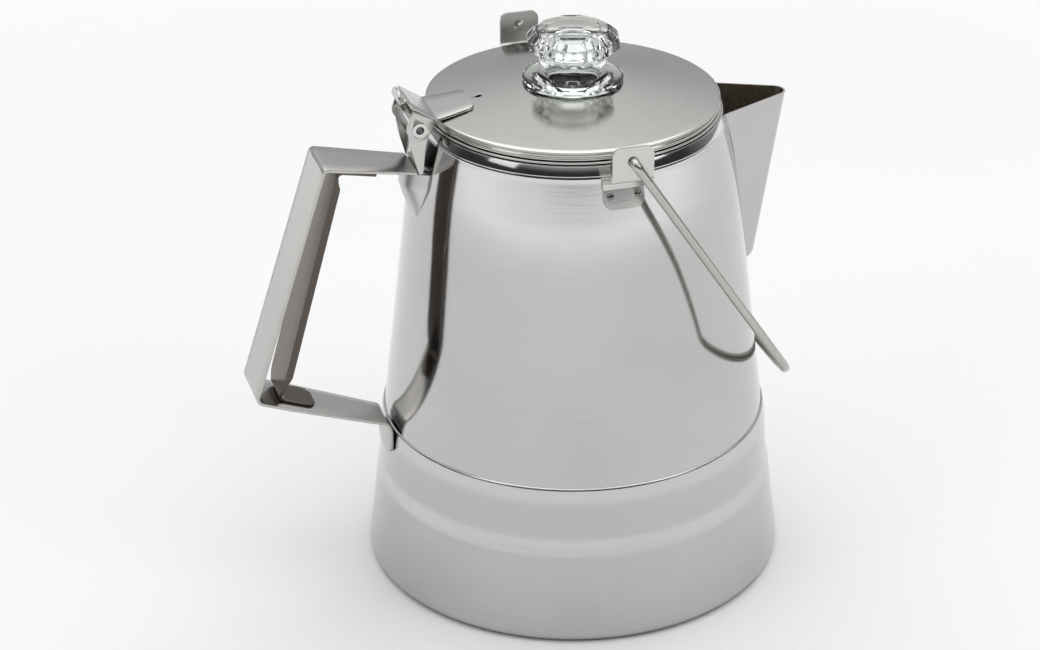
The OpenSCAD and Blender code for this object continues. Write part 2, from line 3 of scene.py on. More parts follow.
import bmesh
import bpy
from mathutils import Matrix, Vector


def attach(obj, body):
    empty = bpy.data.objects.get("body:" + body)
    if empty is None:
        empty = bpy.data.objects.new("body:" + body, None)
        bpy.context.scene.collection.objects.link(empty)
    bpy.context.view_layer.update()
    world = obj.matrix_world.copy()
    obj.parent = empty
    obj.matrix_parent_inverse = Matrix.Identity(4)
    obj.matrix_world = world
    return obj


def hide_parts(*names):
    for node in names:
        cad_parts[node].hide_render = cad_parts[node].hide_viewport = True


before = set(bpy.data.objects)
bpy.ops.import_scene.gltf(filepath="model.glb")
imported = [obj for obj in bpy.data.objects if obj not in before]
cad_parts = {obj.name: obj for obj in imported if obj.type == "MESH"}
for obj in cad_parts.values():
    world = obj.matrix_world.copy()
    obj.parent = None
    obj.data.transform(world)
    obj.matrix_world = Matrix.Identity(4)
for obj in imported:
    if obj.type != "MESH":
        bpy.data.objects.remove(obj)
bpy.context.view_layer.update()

MM = 0.001

# ---------------------------------------------------------------- driving dimensions, in millimetres

BODY_R = 85.4  # outer radius of the shell at the seam
SEAM_Z = 73.5  # height where the pan's collar ends
TAPER = 0.119  # radius lost for each millimetre of height
NECK_Z = 165.0  # height where the wall starts to curve in
NECK_CURVE = 0.001384
WALL = 0.9  # sheet thickness of the pot and the lid
RIM_R = 64.2  # centre line of the rolled rim
RIM_Z = 213.3
BEAD = 2.2
SPOUT_X = 98.3  # reach of the spout's tip at its open top
SPOUT_TOP = 210.8
SPOUT_FOOT_X = 85.8
SPOUT_FOOT_Z = 137.0
SPOUT_LIP = 5.5
SPOUT_HALF = math.radians(25)  # half of the angle between the spout's cheeks
ARM_HALF = 11.0  # half width of the strap where it meets the pot
GRIP_HALF = 13.25  # half width of the strap at the grip
FOOT_HALF = 10.25  # half width of the strap's foot
LID_R = 63.7
LID_EDGE_Z = 221.2
SEAT_R = 22.5  # flat seat under the knob
SEAT_RISE = 6.3
DOME_BULGE = 1.2
HINGE_X = -72.1
HINGE_Z = 218.9
LEAF_END = -46.3  # tip of the lid's leaf
LEAF_BEND = -64.3  # where the leaf's plate on the dome meets the part that slopes up to the tab
PIVOT_Z = 223.0
LEG_Y = 83.2
BAIL_REACH = 155.2  # from the pivot to the middle of the arch
BAIL_CORNER = 11.2
BAIL_REST = math.radians(33.4)  # lean of the resting bail from straight down

# ---------------------------------------------------------------- mesh tools


def make(name, verts, faces, body, material, replaces=(), slot=None, angle=32.0):
    """A mesh object from points in millimetres, smooth up to an angle, riding on a body."""
    mesh = bpy.data.meshes.new(name)
    mesh.from_pydata([tuple(c * MM for c in v) for v in verts], [], faces)
    bm = bmesh.new()
    bm.from_mesh(mesh)
    bmesh.ops.remove_doubles(bm, verts=bm.verts, dist=1e-6)
    bmesh.ops.recalc_face_normals(bm, faces=bm.faces)
    limit = math.radians(angle)
    for face in bm.faces:
        face.smooth = True
    for edge in bm.edges:
        if len(edge.link_faces) == 2 and edge.calc_face_angle(0.0) > limit:
            edge.smooth = False
    bm.to_mesh(mesh)
    bm.free()
    obj = bpy.data.objects.new(name, mesh)
    bpy.context.collection.objects.link(obj)
    mesh.materials.append(material)
    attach(obj, body)
    if replaces:
        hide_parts(*replaces)
    return obj


def revolve(profile, segments=256, closed=True, facets=0):
    """Rings about Z from (r, z) points. A third value blends a ring from a circle, 0, to facets, 1."""
    verts, rings = [], []
    for r, z, *flat in profile:
        if r < 1e-6:
            rings.append([len(verts)] * segments)
            verts.append((0.0, 0.0, z))
            continue
        rings.append(list(range(len(verts), len(verts) + segments)))
        for i in range(segments):
            a = 2 * math.pi * i / segments
            reach = r
            if flat:
                step = 2 * math.pi / facets
                reach *= 1 + flat[0] * (math.cos(step / 2) / math.cos(a % step - step / 2) - 1)
            verts.append((reach * math.cos(a), reach * math.sin(a), z))
    faces = []
    pairs = list(zip(rings, rings[1:])) + ([(rings[-1], rings[0])] if closed else [])
    for low, high in pairs:
        for i in range(segments):
            j = (i + 1) % segments
            quad = [low[i], low[j], high[j], high[i]]
            quad = [v for k, v in enumerate(quad) if v != quad[k - 1]]
            if len(set(quad)) > 2:
                faces.append(quad)
    return verts, faces


def loft(sections):
    """Points and faces of a closed solid through closed sections of equal point count."""
    n = len(sections[0])
    verts = [p for s in sections for p in s]
    faces = []
    for k in range(len(sections) - 1):
        for i in range(n):
            j = (i + 1) % n
            faces.append([k * n + i, k * n + j, (k + 1) * n + j, (k + 1) * n + i])
    faces.append(list(range(n))[::-1])
    faces.append(list(range((len(sections) - 1) * n, len(sections) * n)))
    return verts, faces


def smooth_path(points, steps):
    """Catmull-Rom curve through 2-D points, as plain pairs."""
    pts = [Vector(p) for p in points]
    pts = [2 * pts[0] - pts[1]] + pts + [2 * pts[-1] - pts[-2]]
    out = []
    for i in range(1, len(pts) - 2):
        a, b, c, d = pts[i - 1:i + 3]
        for k in range(steps):
            t = k / steps
            out.append(0.5 * ((2 * b) + (c - a) * t + (2 * a - 5 * b + 4 * c - d) * t * t
                              + (3 * b - a - 3 * c + d) * t ** 3))
    out.append(pts[-2])
    return [tuple(p) for p in out]


def rounded(path, radii, steps=8):
    """A path whose inner corners become arcs."""
    pts = [Vector(p) for p in path]
    out = []
    for i, q in enumerate(pts):
        if i in (0, len(pts) - 1) or radii[i] == 0:
            out.append(q)
            continue
        a, b = (pts[i - 1] - q).normalized(), (pts[i + 1] - q).normalized()
        half = a.angle(b) / 2
        centre = q + (a + b).normalized() * radii[i] / math.sin(half)
        start = q + a * radii[i] / math.tan(half) - centre
        end = q + b * radii[i] / math.tan(half) - centre
        sweep = start.angle(end)
        for k in range(steps + 1):
            t = k / steps
            out.append(centre + (start * math.sin(sweep * (1 - t)) + end * math.sin(sweep * t))
                       / math.sin(sweep))
    return out


def resample(path, gap):
    """The same path with points no further apart than gap."""
    out = [path[0]]
    for a, b in zip(path, path[1:]):
        n = max(1, math.ceil((b - a).length / gap))
        out += [a.lerp(b, k / n) for k in range(1, n + 1)]
    return out


def normals_2d(path):
    """Left-hand mitred normals of a 2-D path."""
    out = []
    for i in range(len(path)):
        a = path[max(i - 1, 0)]
        b = path[min(i + 1, len(path) - 1)]
        p = path[i]
        d1 = (p - a).normalized() if (p - a).length > 1e-9 else (b - p).normalized()
        d2 = (b - p).normalized() if (b - p).length > 1e-9 else d1
        m = Vector((-(d1.y + d2.y), d1.x + d2.x)).normalized()
        out.append(m / max(0.3, m.dot(Vector((-d1.y, d1.x)))))
    return out


def sheet(path, outline, bow=None):
    """Closed sections along an XZ path. outline(p) gives half of a section, as (y, offset) points, and the
    half thickness at its middle; bow(p, y) shifts a point along X."""
    sections = []
    for p, n in zip(path, normals_2d(path)):
        half, t = outline(p)
        ring = [(0.0, -t)] + half + [(0.0, t)] + [(-y, d) for y, d in reversed(half)]
        section = []
        for y, d in ring:
            q = p + n * d
            section.append((q.x + (bow(p, y) if bow else 0.0), y, q.y))
        sections.append(section)
    return sections


def strip(path, thickness, half_width, edge=0.3, bow=None):
    """Sections of a flat sheet with rounded edges; half_width(p) gives its half width."""
    t = thickness / 2
    soft = edge * 0.3

    def outline(p):
        w = half_width(p)
        return [(w * 0.5, -t), (w - edge, -t), (w - soft, -t + soft), (w, -t + edge),
                (w, t - edge), (w - soft, t - soft), (w - edge, t), (w * 0.5, t)], t

    return sheet(path, outline, bow)


def tube(path, radius, sides=28):
    """Closed sections of a round bar that follows a 3-D path, with its two ends drawn in."""
    pts = [Vector(p) for p in path]
    last = len(pts) - 1
    tangents = [(pts[min(i + 1, last)] - pts[max(i - 1, 0)]).normalized() for i in range(len(pts))]
    up = tangents[0].orthogonal().normalized()
    sections = []
    for i, (p, t) in enumerate(zip(pts, tangents)):
        r = radius * (0.775 if i in (0, last) else 1.0)
        up = (up - t * up.dot(t)).normalized()
        side = t.cross(up)
        turns = [2 * math.pi * k / sides for k in range(sides)]
        sections.append([tuple(p + (up * math.cos(a) + side * math.sin(a)) * r) for a in turns])
    return sections


def cut(obj, cutters):
    """Cuts closed meshes out of obj and applies the result."""
    for c in cutters:
        mod = obj.modifiers.new("cut", "BOOLEAN")
        mod.operation = "DIFFERENCE"
        mod.solver = "EXACT"
        mod.object = c
    deps = bpy.context.evaluated_depsgraph_get()
    mesh = bpy.data.meshes.new_from_object(obj.evaluated_get(deps))
    obj.modifiers.clear()
    obj.data = mesh
    for c in cutters:
        bpy.data.objects.remove(c)


def cutter(name, verts, faces):
    """A closed mesh that cut() takes out of a piece and then deletes."""
    mesh = bpy.data.meshes.new(name)
    mesh.from_pydata([tuple(c * MM for c in v) for v in verts], [], faces)
    bm = bmesh.new()
    bm.from_mesh(mesh)
    bmesh.ops.recalc_face_normals(bm, faces=bm.faces)
    for f in bm.faces:
        f.smooth = True
    bm.to_mesh(mesh)
    bm.free()
    obj = bpy.data.objects.new(name, mesh)
    bpy.context.collection.objects.link(obj)
    return obj


def bar(start, radius, length, axis, sides=32):
    """Points and faces of a round bar that runs from start along an axis: 0 X, 1 Y, 2 Z."""
    across = [k for k in range(3) if k != axis]
    rings = []
    for reach in (0.0, length):
        ring = []
        for k in range(sides):
            turn = 2 * math.pi * k / sides
            p = list(start)
            p[axis] += reach
            p[across[0]] += radius * math.cos(turn)
            p[across[1]] += radius * math.sin(turn)
            ring.append(tuple(p))
        rings.append(ring)
    return loft(rings)


# faces of a box whose points are four at the bottom and then four at the top, in the same order
BOX_FACES = ((0, 3, 2, 1), (4, 5, 6, 7), (0, 1, 5, 4), (1, 2, 6, 5), (2, 3, 7, 6), (3, 0, 4, 7))


def box(corners, low, high):
    """Points of a box with a plan outline of four corners."""
    return [(x, y, z) for z in (low, high) for x, y in corners]


# ---------------------------------------------------------------- materials


class Nodes:
    """Short hand for building a node tree."""

    def __init__(self, tree):
        self.tree = tree

    def add(self, kind, **inputs):
        node = self.tree.nodes.new(kind)
        for key, value in inputs.items():
            self.put(node, key, value)
        return node

    def put(self, node, key, value):
        socket = node.inputs[key.replace("_", " ")]
        if isinstance(value, bpy.types.NodeSocket):
            self.tree.links.new(value, socket)
        else:
            socket.default_value = value

    def math(self, op, a, b=0.0, clamp=False):
        """A Math node on two sockets or numbers."""
        node = self.tree.nodes.new("ShaderNodeMath")
        node.operation = op
        node.use_clamp = clamp
        for i, v in enumerate((a, b)):
            if isinstance(v, bpy.types.NodeSocket):
                self.tree.links.new(v, node.inputs[i])
            else:
                node.inputs[i].default_value = v
        return node.outputs[0]

    def span(self, value, low, high, to_low, to_high):
        """A smooth step from one pair of values to another."""
        node = self.tree.nodes.new("ShaderNodeMapRange")
        node.interpolation_type = "SMOOTHSTEP"
        self.tree.links.new(value, node.inputs["Value"])
        for key, v in (("From Min", low), ("From Max", high), ("To Min", to_low), ("To Max", to_high)):
            if isinstance(v, bpy.types.NodeSocket):
                self.tree.links.new(v, node.inputs[key])
            else:
                node.inputs[key].default_value = v
        return node.outputs["Result"]

    def ramp(self, value, stops):
        """A colour ramp from (position, colour) stops."""
        node = self.tree.nodes.new("ShaderNodeValToRGB")
        self.tree.links.new(value, node.inputs[0])
        band = node.color_ramp
        while len(band.elements) < len(stops):
            band.elements.new(0.5)
        for e, (pos, col) in zip(band.elements, stops):
            e.position = pos
            e.color = (*col, 1.0)
        return node.outputs["Color"]


def shade(colour, factor):
    """A colour made lighter or darker."""
    return tuple(min(1.0, v * factor) for v in colour)


def steel(name, colour, rough, grain, grain_depth, stains, aniso=0.0, highlight_bands=()):
    """Stainless sheet: brushed grain, faint stains, fine scratches and brighter worn edges.

    grain is round for a turned wall, spun for a turned disc and flat for strip; bands are (low, high)
    heights, in metres, of steps with a painted highlight: a brighter, bluer colour.
    """
    mat = bpy.data.materials.new(name)
    mat.use_nodes = True
    tree = mat.node_tree
    tree.nodes.clear()
    n = Nodes(tree)
    coord = n.add("ShaderNodeTexCoord").outputs["Object"]
    split = n.add("ShaderNodeSeparateXYZ", Vector=coord)
    x, y, z = split.outputs
    if grain == "round":
        turn = n.math("ARCTAN2", y, x)
        flow = n.add("ShaderNodeCombineXYZ", X=n.math("MULTIPLY", turn, 0.5),
                     Y=n.math("MULTIPLY", z, 160.0), Z=0.0).outputs[0]
    elif grain == "spun":
        radius = n.math("SQRT", n.math("ADD", n.math("MULTIPLY", x, x), n.math("MULTIPLY", y, y)))
        turn = n.math("ARCTAN2", y, x)
        flow = n.add("ShaderNodeCombineXYZ", X=n.math("MULTIPLY", turn, 0.4),
                     Y=n.math("MULTIPLY", radius, 220.0), Z=n.math("MULTIPLY", z, 60.0)).outputs[0]
    else:
        flow = n.add("ShaderNodeCombineXYZ", X=n.math("MULTIPLY", x, 18.0),
                     Y=n.math("MULTIPLY", y, 420.0), Z=n.math("MULTIPLY", z, 18.0)).outputs[0]
    lines = n.add("ShaderNodeTexNoise", Vector=flow, Scale=5.0, Detail=5.0, Roughness=0.62).outputs["Fac"]
    soft = n.add("ShaderNodeTexNoise", Vector=coord, Scale=14.0, Detail=3.0, Roughness=0.5).outputs["Fac"]
    speck = n.add("ShaderNodeTexNoise", Vector=coord, Scale=900.0, Detail=2.0, Roughness=0.6).outputs["Fac"]
    turned = n.add("ShaderNodeMapping", Vector=coord, Rotation=(0.4, 0.9, 0.3), Scale=(30.0, 900.0, 60.0))
    scratch = n.add("ShaderNodeTexNoise", Vector=turned.outputs[0], Scale=1.0, Detail=2.0, Roughness=0.4)
    scratch = n.span(scratch.outputs["Fac"], 0.70, 0.78, 0.0, 1.0)
    edge = n.add("ShaderNodeNewGeometry").outputs["Pointiness"]
    worn = n.span(edge, 0.52, 0.60, 0.0, 1.0)
    tone = n.math("ADD", n.math("MULTIPLY", soft, 0.65), n.math("MULTIPLY", lines, 0.35))
    base = n.ramp(tone, ((0.30, shade(colour, 0.92)), (0.52, colour), (0.74, shade(colour, 1.05))))
    # painted highlight: between each band's heights the colour turns brighter and bluer
    for low, high in highlight_bands:
        inside = n.math("MULTIPLY", n.span(z, low - 0.003, low + 0.002, 0.0, 1.0),
                        n.span(z, high - 0.002, high + 0.001, 1.0, 0.0))
        painted_highlight = n.add("ShaderNodeMix")
        painted_highlight.data_type = "RGBA"
        tree.links.new(inside, painted_highlight.inputs["Factor"])
        tree.links.new(base, painted_highlight.inputs["A"])
        painted_highlight.inputs["B"].default_value = (*shade(colour, 1.13)[:2], colour[2] * 1.16, 1.0)
        base = painted_highlight.outputs["Result"]
    mix = n.add("ShaderNodeMix")
    mix.data_type = "RGBA"
    tree.links.new(n.math("MULTIPLY", worn, 0.5), mix.inputs["Factor"])
    tree.links.new(base, mix.inputs["A"])
    mix.inputs["B"].default_value = (*shade(colour, 1.15), 1.0)
    roughness = n.math("ADD", rough - stains * 0.5, n.math("MULTIPLY", soft, stains))
    roughness = n.math("ADD", roughness, n.math("MULTIPLY", lines, 0.05))
    roughness = n.math("ADD", roughness, n.math("MULTIPLY", scratch, 0.10), clamp=True)
    height = n.math("ADD", n.math("MULTIPLY", lines, 1.0), n.math("MULTIPLY", speck, 0.04))
    height = n.math("SUBTRACT", height, n.math("MULTIPLY", scratch, 0.35))
    bump = n.add("ShaderNodeBump", Height=height, Strength=grain_depth, Distance=0.0006).outputs[0]
    bsdf = n.add("ShaderNodeBsdfPrincipled", Base_Color=mix.outputs["Result"], Metallic=1.0,
                 Roughness=roughness, Normal=bump)
    if aniso:
        bsdf.inputs["Anisotropic"].default_value = aniso
        tangent = n.add("ShaderNodeTangent")
        tangent.direction_type = "RADIAL"
        tangent.axis = "Z"
        tree.links.new(tangent.outputs[0], bsdf.inputs["Tangent"])
    out = n.add("ShaderNodeOutputMaterial")
    tree.links.new(bsdf.outputs[0], out.inputs["Surface"])
    return mat


def glass(name):
    """Clear pressed glass, faintly green, with slight waviness and handling marks."""
    mat = bpy.data.materials.new(name)
    mat.use_nodes = True
    tree = mat.node_tree
    tree.nodes.clear()
    n = Nodes(tree)
    coord = n.add("ShaderNodeTexCoord").outputs["Object"]
    wave = n.add("ShaderNodeTexNoise", Vector=coord, Scale=120.0, Detail=2.0).outputs["Fac"]
    marks = n.add("ShaderNodeTexNoise", Vector=coord, Scale=40.0, Detail=5.0, Roughness=0.6).outputs["Fac"]
    tint = n.ramp(marks, ((0.35, (0.93, 0.98, 0.95)), (0.65, (0.98, 1.0, 0.985))))
    bump = n.add("ShaderNodeBump", Height=wave, Strength=0.05, Distance=0.0006).outputs[0]
    smear = n.span(marks, 0.45, 0.75, 0.0, 0.07)
    bsdf = n.add("ShaderNodeBsdfPrincipled", Base_Color=tint, Roughness=smear, Normal=bump)
    bsdf.inputs["IOR"].default_value = 1.5
    bsdf.inputs["Transmission Weight"].default_value = 1.0
    out = n.add("ShaderNodeOutputMaterial")
    tree.links.new(bsdf.outputs[0], out.inputs["Surface"])
    return mat


BODY = steel("body_steel", (0.535, 0.528, 0.522), 0.075, "round", 0.012, 0.05, aniso=0.1)
# painted light: a paler, bluer copy of the body's steel, so the fairing reads as a light patch
SADDLE_PAINTED_LIGHT = steel("saddle_painted_light", (0.68, 0.68, 0.69), 0.42, "flat", 0.03, 0.10)
# the pan's two steps carry a painted highlight, a brighter, bluer band of colour
PAN = steel("pan_steel", (0.53, 0.518, 0.508), 0.15, "round", 0.02, 0.07, aniso=0.2,
            highlight_bands=((0.0425, 0.0495), (0.0670, 0.0740)))
LID = steel("lid_steel", (0.57, 0.558, 0.54), 0.12, "spun", 0.014, 0.05, aniso=0.2)
SPOUT = steel("spout_steel", (0.52, 0.515, 0.51), 0.13, "flat", 0.03, 0.10)
# painted shade: the spout's inner faces get a darker, browner steel
SPOUT_IN_SHADED = steel("spout_inside_painted_shade", (0.44, 0.39, 0.33), 0.24, "flat", 0.03, 0.12)
STRAP = steel("strap_steel", (0.52, 0.51, 0.495), 0.24, "flat", 0.05, 0.12)
GRIP = steel("grip_steel", (0.105, 0.090, 0.080), 0.20, "flat", 0.05, 0.14)
HINGE = steel("hinge_steel", (0.56, 0.55, 0.535), 0.22, "flat", 0.04, 0.12)
EAR = steel("ear_steel", (0.58, 0.575, 0.56), 0.22, "flat", 0.04, 0.12)
PIN = steel("pin_steel", (0.62, 0.61, 0.60), 0.16, "flat", 0.02, 0.10)
RIVET = steel("rivet_steel", (0.24, 0.23, 0.22), 0.14, "flat", 0.02, 0.10)
WIRE = steel("wire_steel", (0.50, 0.49, 0.47), 0.22, "flat", 0.04, 0.12)
PUMP = steel("pump_metal", (0.62, 0.625, 0.63), 0.34, "round", 0.05, 0.16)
BASKET = steel("basket_metal", (0.64, 0.645, 0.65), 0.36, "spun", 0.05, 0.16)
GLASS = glass("knob_glass")

# ---------------------------------------------------------------- pot


def wall_r(z):
    """Outer radius of the pot's wall, in millimetres, at a height in millimetres."""
    return BODY_R - TAPER * (z - SEAM_Z) - (NECK_CURVE * (z - NECK_Z) ** 2 if z > NECK_Z else 0.0)


def arc(cx, cz, r, start, end, steps):
    """Points of a circle's arc from one angle to another, in degrees."""
    return [(cx + r * math.cos(math.radians(start + (end - start) * i / steps)),
             cz + r * math.sin(math.radians(start + (end - start) * i / steps))) for i in range(steps + 1)]


def pot_shell():
    """The tapered wall, its neck and the rolled rim, with strainer holes behind the spout."""
    cone_z, cone_taper = 190, 0.2
    heights = [66.8, 70, SEAM_Z, 80, *range(90, 166, 10), *range(168, cone_z + 1, 2)]
    up = [(wall_r(z), z) for z in heights]
    up += [(wall_r(cone_z) - cone_taper * (z - cone_z), z) for z in range(cone_z + 2, 211, 2)]
    # the rim is rolled to a flat, leaning face that starts at a crisp edge
    up += [(66.56, 210.9), (66.42, 211.15)]
    roll = [(66.44, 211.4), (66.34, 211.7), (65.06, 215.1), (64.85, 215.38), (64.5, 215.5)]
    roll += arc(RIM_R, RIM_Z, BEAD, 90, 250, 12)
    down = [(r - WALL, z) for r, z in reversed(up[:-1])]
    shell = make("pot_shell", *revolve(up + roll + down), "pot", BODY, ["body_shell"], "body_steel")
    cut(shell, [cutter(f"strain_{row}_{col}", *bar((55, (col - 1.5) * 4, 152 + row * 9), 1.5, 40, 0))
                for row in range(5) for col in range(4)])


pot_shell()


def pot_pan():
    """The stepped pan that the shell stands in."""
    corner = arc(89.6, 4.4, 4.4, -90, 4, 12)
    outside = smooth_path([(93.95, 5.2), (92.6, 16), (91.1, 28), (89.9, 38.6), (89.55, 42.2), (88.6, 46.2),
                           (87.95, 50.2), (87.55, 57), (87.12, 66.6), (86.9, 69.4), (86.45, 72.2),
                           (86.2, 73.1)], 6)
    lip = [(85.95, 73.42), (85.70, 73.56), (85.42, 73.62)]
    inside = [(85.5, 72), (86.3, 66.4), (86.0, 65), (86.95, 50.4), (87.6, 46.6), (88.5, 42.4), (88.9, 38.6),
              (91.6, 16), (92.9, 5.6), (92.0, 2.6), (89.6, 1.25)]
    profile = [(0, 0), (60, 0)] + corner + outside + lip + inside + [(60, 1.2), (0, 1.2)]
    make("pot_pan", *revolve(profile, closed=False), "pot", PAN, ["base_pan"], "pan_steel", angle=40)


pot_pan()


def spout_tip(z):
    """Reach of the spout's front edge at a height; under its foot the edge rounds in to the wall."""
    if z >= SPOUT_FOOT_Z:
        rise = (z - SPOUT_FOOT_Z) / (SPOUT_TOP - SPOUT_FOOT_Z)
        return SPOUT_FOOT_X + (SPOUT_X - SPOUT_FOOT_X) * rise
    drop = (SPOUT_FOOT_Z - z) / 5.8
    return SPOUT_FOOT_X - 6.08 * (1 - math.sqrt(max(0.0, 1 - drop ** 2)))


def spout_section(z, inset, flange):
    """Half of the spout's plan outline at a height, from the pot to the tip."""
    lip = SPOUT_LIP - inset
    centre = spout_tip(z) - inset - lip
    nose = [(centre + lip * math.cos(a), lip * math.sin(a))
            for a in [math.radians(65 * k / 10) for k in range(10, -1, -1)]]
    pot = wall_r(z) + 0.06
    side = nose[0]
    # halve the step back along the cheek until it meets the pot
    lo, hi = 0.0, 80.0
    for _ in range(40):
        mid = (lo + hi) / 2
        p = (side[0] - mid * math.cos(SPOUT_HALF), side[1] + mid * math.sin(SPOUT_HALF))
        lo, hi = (mid, hi) if math.hypot(*p) > pot else (lo, mid)
    root = (side[0] - lo * math.cos(SPOUT_HALF), side[1] + lo * math.sin(SPOUT_HALF))
    cheek = [tuple(r + (s - r) * k / 6 for r, s in zip(root, side)) for k in range(6)]
    turn = math.atan2(root[1], root[0])
    hem = [turn + k * flange / 3 / pot for k in (3, 2, 1)] if flange else []
    return [((pot + 0.12) * math.cos(a), (pot + 0.12) * math.sin(a)) for a in hem] + cheek + nose


def spout():
    """The folded spout: an outer and an inner skin joined at the lip, the foot and the weld flange."""
    foot, rise = SPOUT_FOOT_Z, 72.6
    heights = [131.6, 132.2, 133, 134, 135.2, foot] + [foot + rise * k / 18 for k in range(1, 19)]
    heights += [210.3, SPOUT_TOP]
    flange, sheet_t, floor_z = 2.6, 0.75, 133.2
    outer, inner = [], []
    for z in heights:
        half = spout_section(z, 0.0, flange)
        outer.append([(x, y, z) for x, y in half] + [(x, -y, z) for x, y in reversed(half[:-1])])
        half = spout_section(z, sheet_t, 0)
        half = [(half[0][0] - 0.02, half[0][1] - 0.02)] * 3 + half
        up = max(z, floor_z)
        inner.append([(x, y, up) for x, y in half] + [(x, -y, up) for x, y in reversed(half[:-1])])
    n = len(outer[0])
    verts = [p for s in outer + inner for p in s]
    m = len(outer) * n
    faces = []
    for k in range(len(heights) - 1):
        for i in range(n - 1):
            a = k * n + i
            faces.append([a, a + 1, a + n + 1, a + n])
            faces.append([m + a, m + a + n, m + a + n + 1, m + a + 1])
        for i in (0, n - 1):
            a, b = k * n + i, (k + 1) * n + i
            faces.append([a, b, m + b, m + a])
    top = (len(heights) - 1) * n
    for i in range(n - 1):
        faces.append([top + i, top + i + 1, m + top + i + 1, m + top + i])
        faces.append([i, m + i, m + i + 1, i + 1])
    obj = make("spout_sheet", verts, faces, "pot", SPOUT, ["spout"], "spout_steel", angle=50)
    # the faces inside the trough take the darker, browner steel: painted shade
    obj.data.materials.append(SPOUT_IN_SHADED)
    for face in obj.data.polygons:
        c, n = face.center, face.normal
        if abs(n.z) < 0.9 and (n.x < -0.2 or n.y * c.y < 0):
            face.material_index = 1


spout()

# ---------------------------------------------------------------- handle

strap_line = resample(rounded(
    [(-73.1, 197.8), (-113.6, 205.6), (-148.0, 100.0), (-89.2, 77.9), (-88.35, 74), (-88.35, 62.5)],
    [0, 1.7, 3, 3, 3, 0]), 3.0)


def strap_half(p):
    """Half of the strap's width at a point of its line."""
    if p.y > 150:
        return ARM_HALF + (GRIP_HALF - ARM_HALF) * min(1.0, max(0.0, (-78 - p.x) / 31.6))
    low = FOOT_HALF + (GRIP_HALF - FOOT_HALF) * min(1.0, max(0.0, (-92 - p.x) / 40))
    if p.x > -90 and p.y < 67:
        low -= 3.2 * (1 - math.sqrt(max(0.0, 1 - ((67 - p.y) / 4.5) ** 2)))
    return low


def hug(p, y):
    """The strap's foot bends round the pan."""
    pan_r = 87.5
    if p.y < 80 and p.x > -92:
        return min(1.0, (80 - p.y) / 5) * (pan_r - math.sqrt(pan_r ** 2 - y * y))
    return 0.0


make("handle_band", *loft(strip(strap_line, 1.5, strap_half, bow=hug)), "pot", STRAP, ["handle_strap"],
     "strap_steel", angle=40)


def saddle():
    """A pressed fairing that fills the corner between the arm and the neck."""
    rows, columns, half_angle = 18, 30, math.radians(10.5)
    low, high = 174.6, 197.0
    stand_off = 78.2 - wall_r(191)
    sections = []
    for i in range(rows + 1):
        z = low + (high - low) * i / rows
        rise = min(1.0, (z - low) / 15.5)
        depth = max(0.06, stand_off * rise * (1 - 0.12 * rise) * 1.1)
        top, back = [], []
        for k in range(columns + 1):
            u = 2 * k / columns - 1
            turn = math.pi - u * half_angle * (0.3 + 0.7 * math.sqrt(rise))
            crest = wall_r(z) + 0.06 + depth * (1 - abs(u) ** 2.6)
            for ring, r in ((top, crest), (back, wall_r(z) + 0.05)):
                ring.append((r * math.cos(turn), r * math.sin(turn), z))
        sections.append(top + back[::-1])
    # the fairing takes the paler, bluer steel, painted light
    make("arm_fairing", *loft(sections), "pot", SADDLE_PAINTED_LIGHT, ["arm_saddle"], "body_steel", angle=60)


saddle()


def grip_outline(p):
    """Half of the grip strip's section: a channel on the grip, and a flat rounded tab at each end."""
    t = 0.6
    w = 11.5
    if p.y <= 104:
        k = min(1.0, (104 - p.y) / 5)
        w -= 3.0 * k * k * (3 - 2 * k)
        if p.x > -124.5:
            w -= 3.5 * (1 - math.sqrt(max(0.0, 1 - min(1.0, (p.x + 124.5) / 3.7) ** 2)))
    rise = min(1.0, max(0.0, (p.y - 105.5) / 3.0)) * min(1.0, max(0.0, (199.5 - p.y) / 3.0))
    deep = t + (2.0 * rise if p.x < -107 else 0.0)
    return [(w * 0.5, -t), (w - 0.2, -t), (w, -t + 0.2), (w, deep - 0.2), (w - 0.2, deep), (w - 1.1, deep),
            (w - 1.3, deep - 0.15), (w - 1.35, t + 0.02), (w * 0.5, t)], t


grip_line = resample(rounded([(-91, 199.75), (-107.4, 202.92), (-137.2, 97.5), (-120.8, 91.34)],
                             [0, 2.4, 3.2, 0]), 2.5)
make("grip_channel", *loft(sheet(grip_line, grip_outline)), "pot", GRIP, ["handle_grip"], "grip_steel",
     angle=40)

# ---------------------------------------------------------------- lid


def dome_z(r):
    """Height of the lid's dome at a radius."""
    t = (LID_R - r) / (LID_R - SEAT_R)
    return LID_EDGE_Z + SEAT_RISE * t + DOME_BULGE * t * (1 - t)


def lid_top():
    """The domed top with its ribbed edge, its vent and the bayonet slot under the knob."""
    seat = [(15, 226.7), (15.0, 227.3), (15.2, 227.5), (19, 227.5), (21.8, 227.5), (22.6, 227.42)]
    dome = [(r, dome_z(r)) for r in [23.4, 25, *range(28, 61, 3), 61.6, 62.7]]
    edge = smooth_path([(63.2, 221.18), (63.62, 220.95), (63.7, 220.55), (63.5, 220.1), (63.15, 219.7),
                        (63.45, 219.3), (63.72, 218.8), (63.6, 218.3), (63.2, 217.85), (63.2, 217.45)], 4)
    under = [(62.2, 217.2), (62.2, 219.4)]
    under += [(r, dome_z(r) - WALL) for r in [61.4, 58, 50, 42, 34, 28, 24, 22]]
    profile = seat + dome + edge + under
    top = make("lid_top", *revolve(profile), "lid", LID, ["lid_dome"], "lid_steel", angle=40)
    slot = [(-2.8, -17.4), (2.8, -17.4), (2.8, 17.4), (-2.8, 17.4)]
    cut(top, [cutter("vent", *bar((-42, 1.5, 215), 1.5, 20, 2)),
              cutter("bayonet", box(slot, 220, 232), BOX_FACES)])


lid_top()


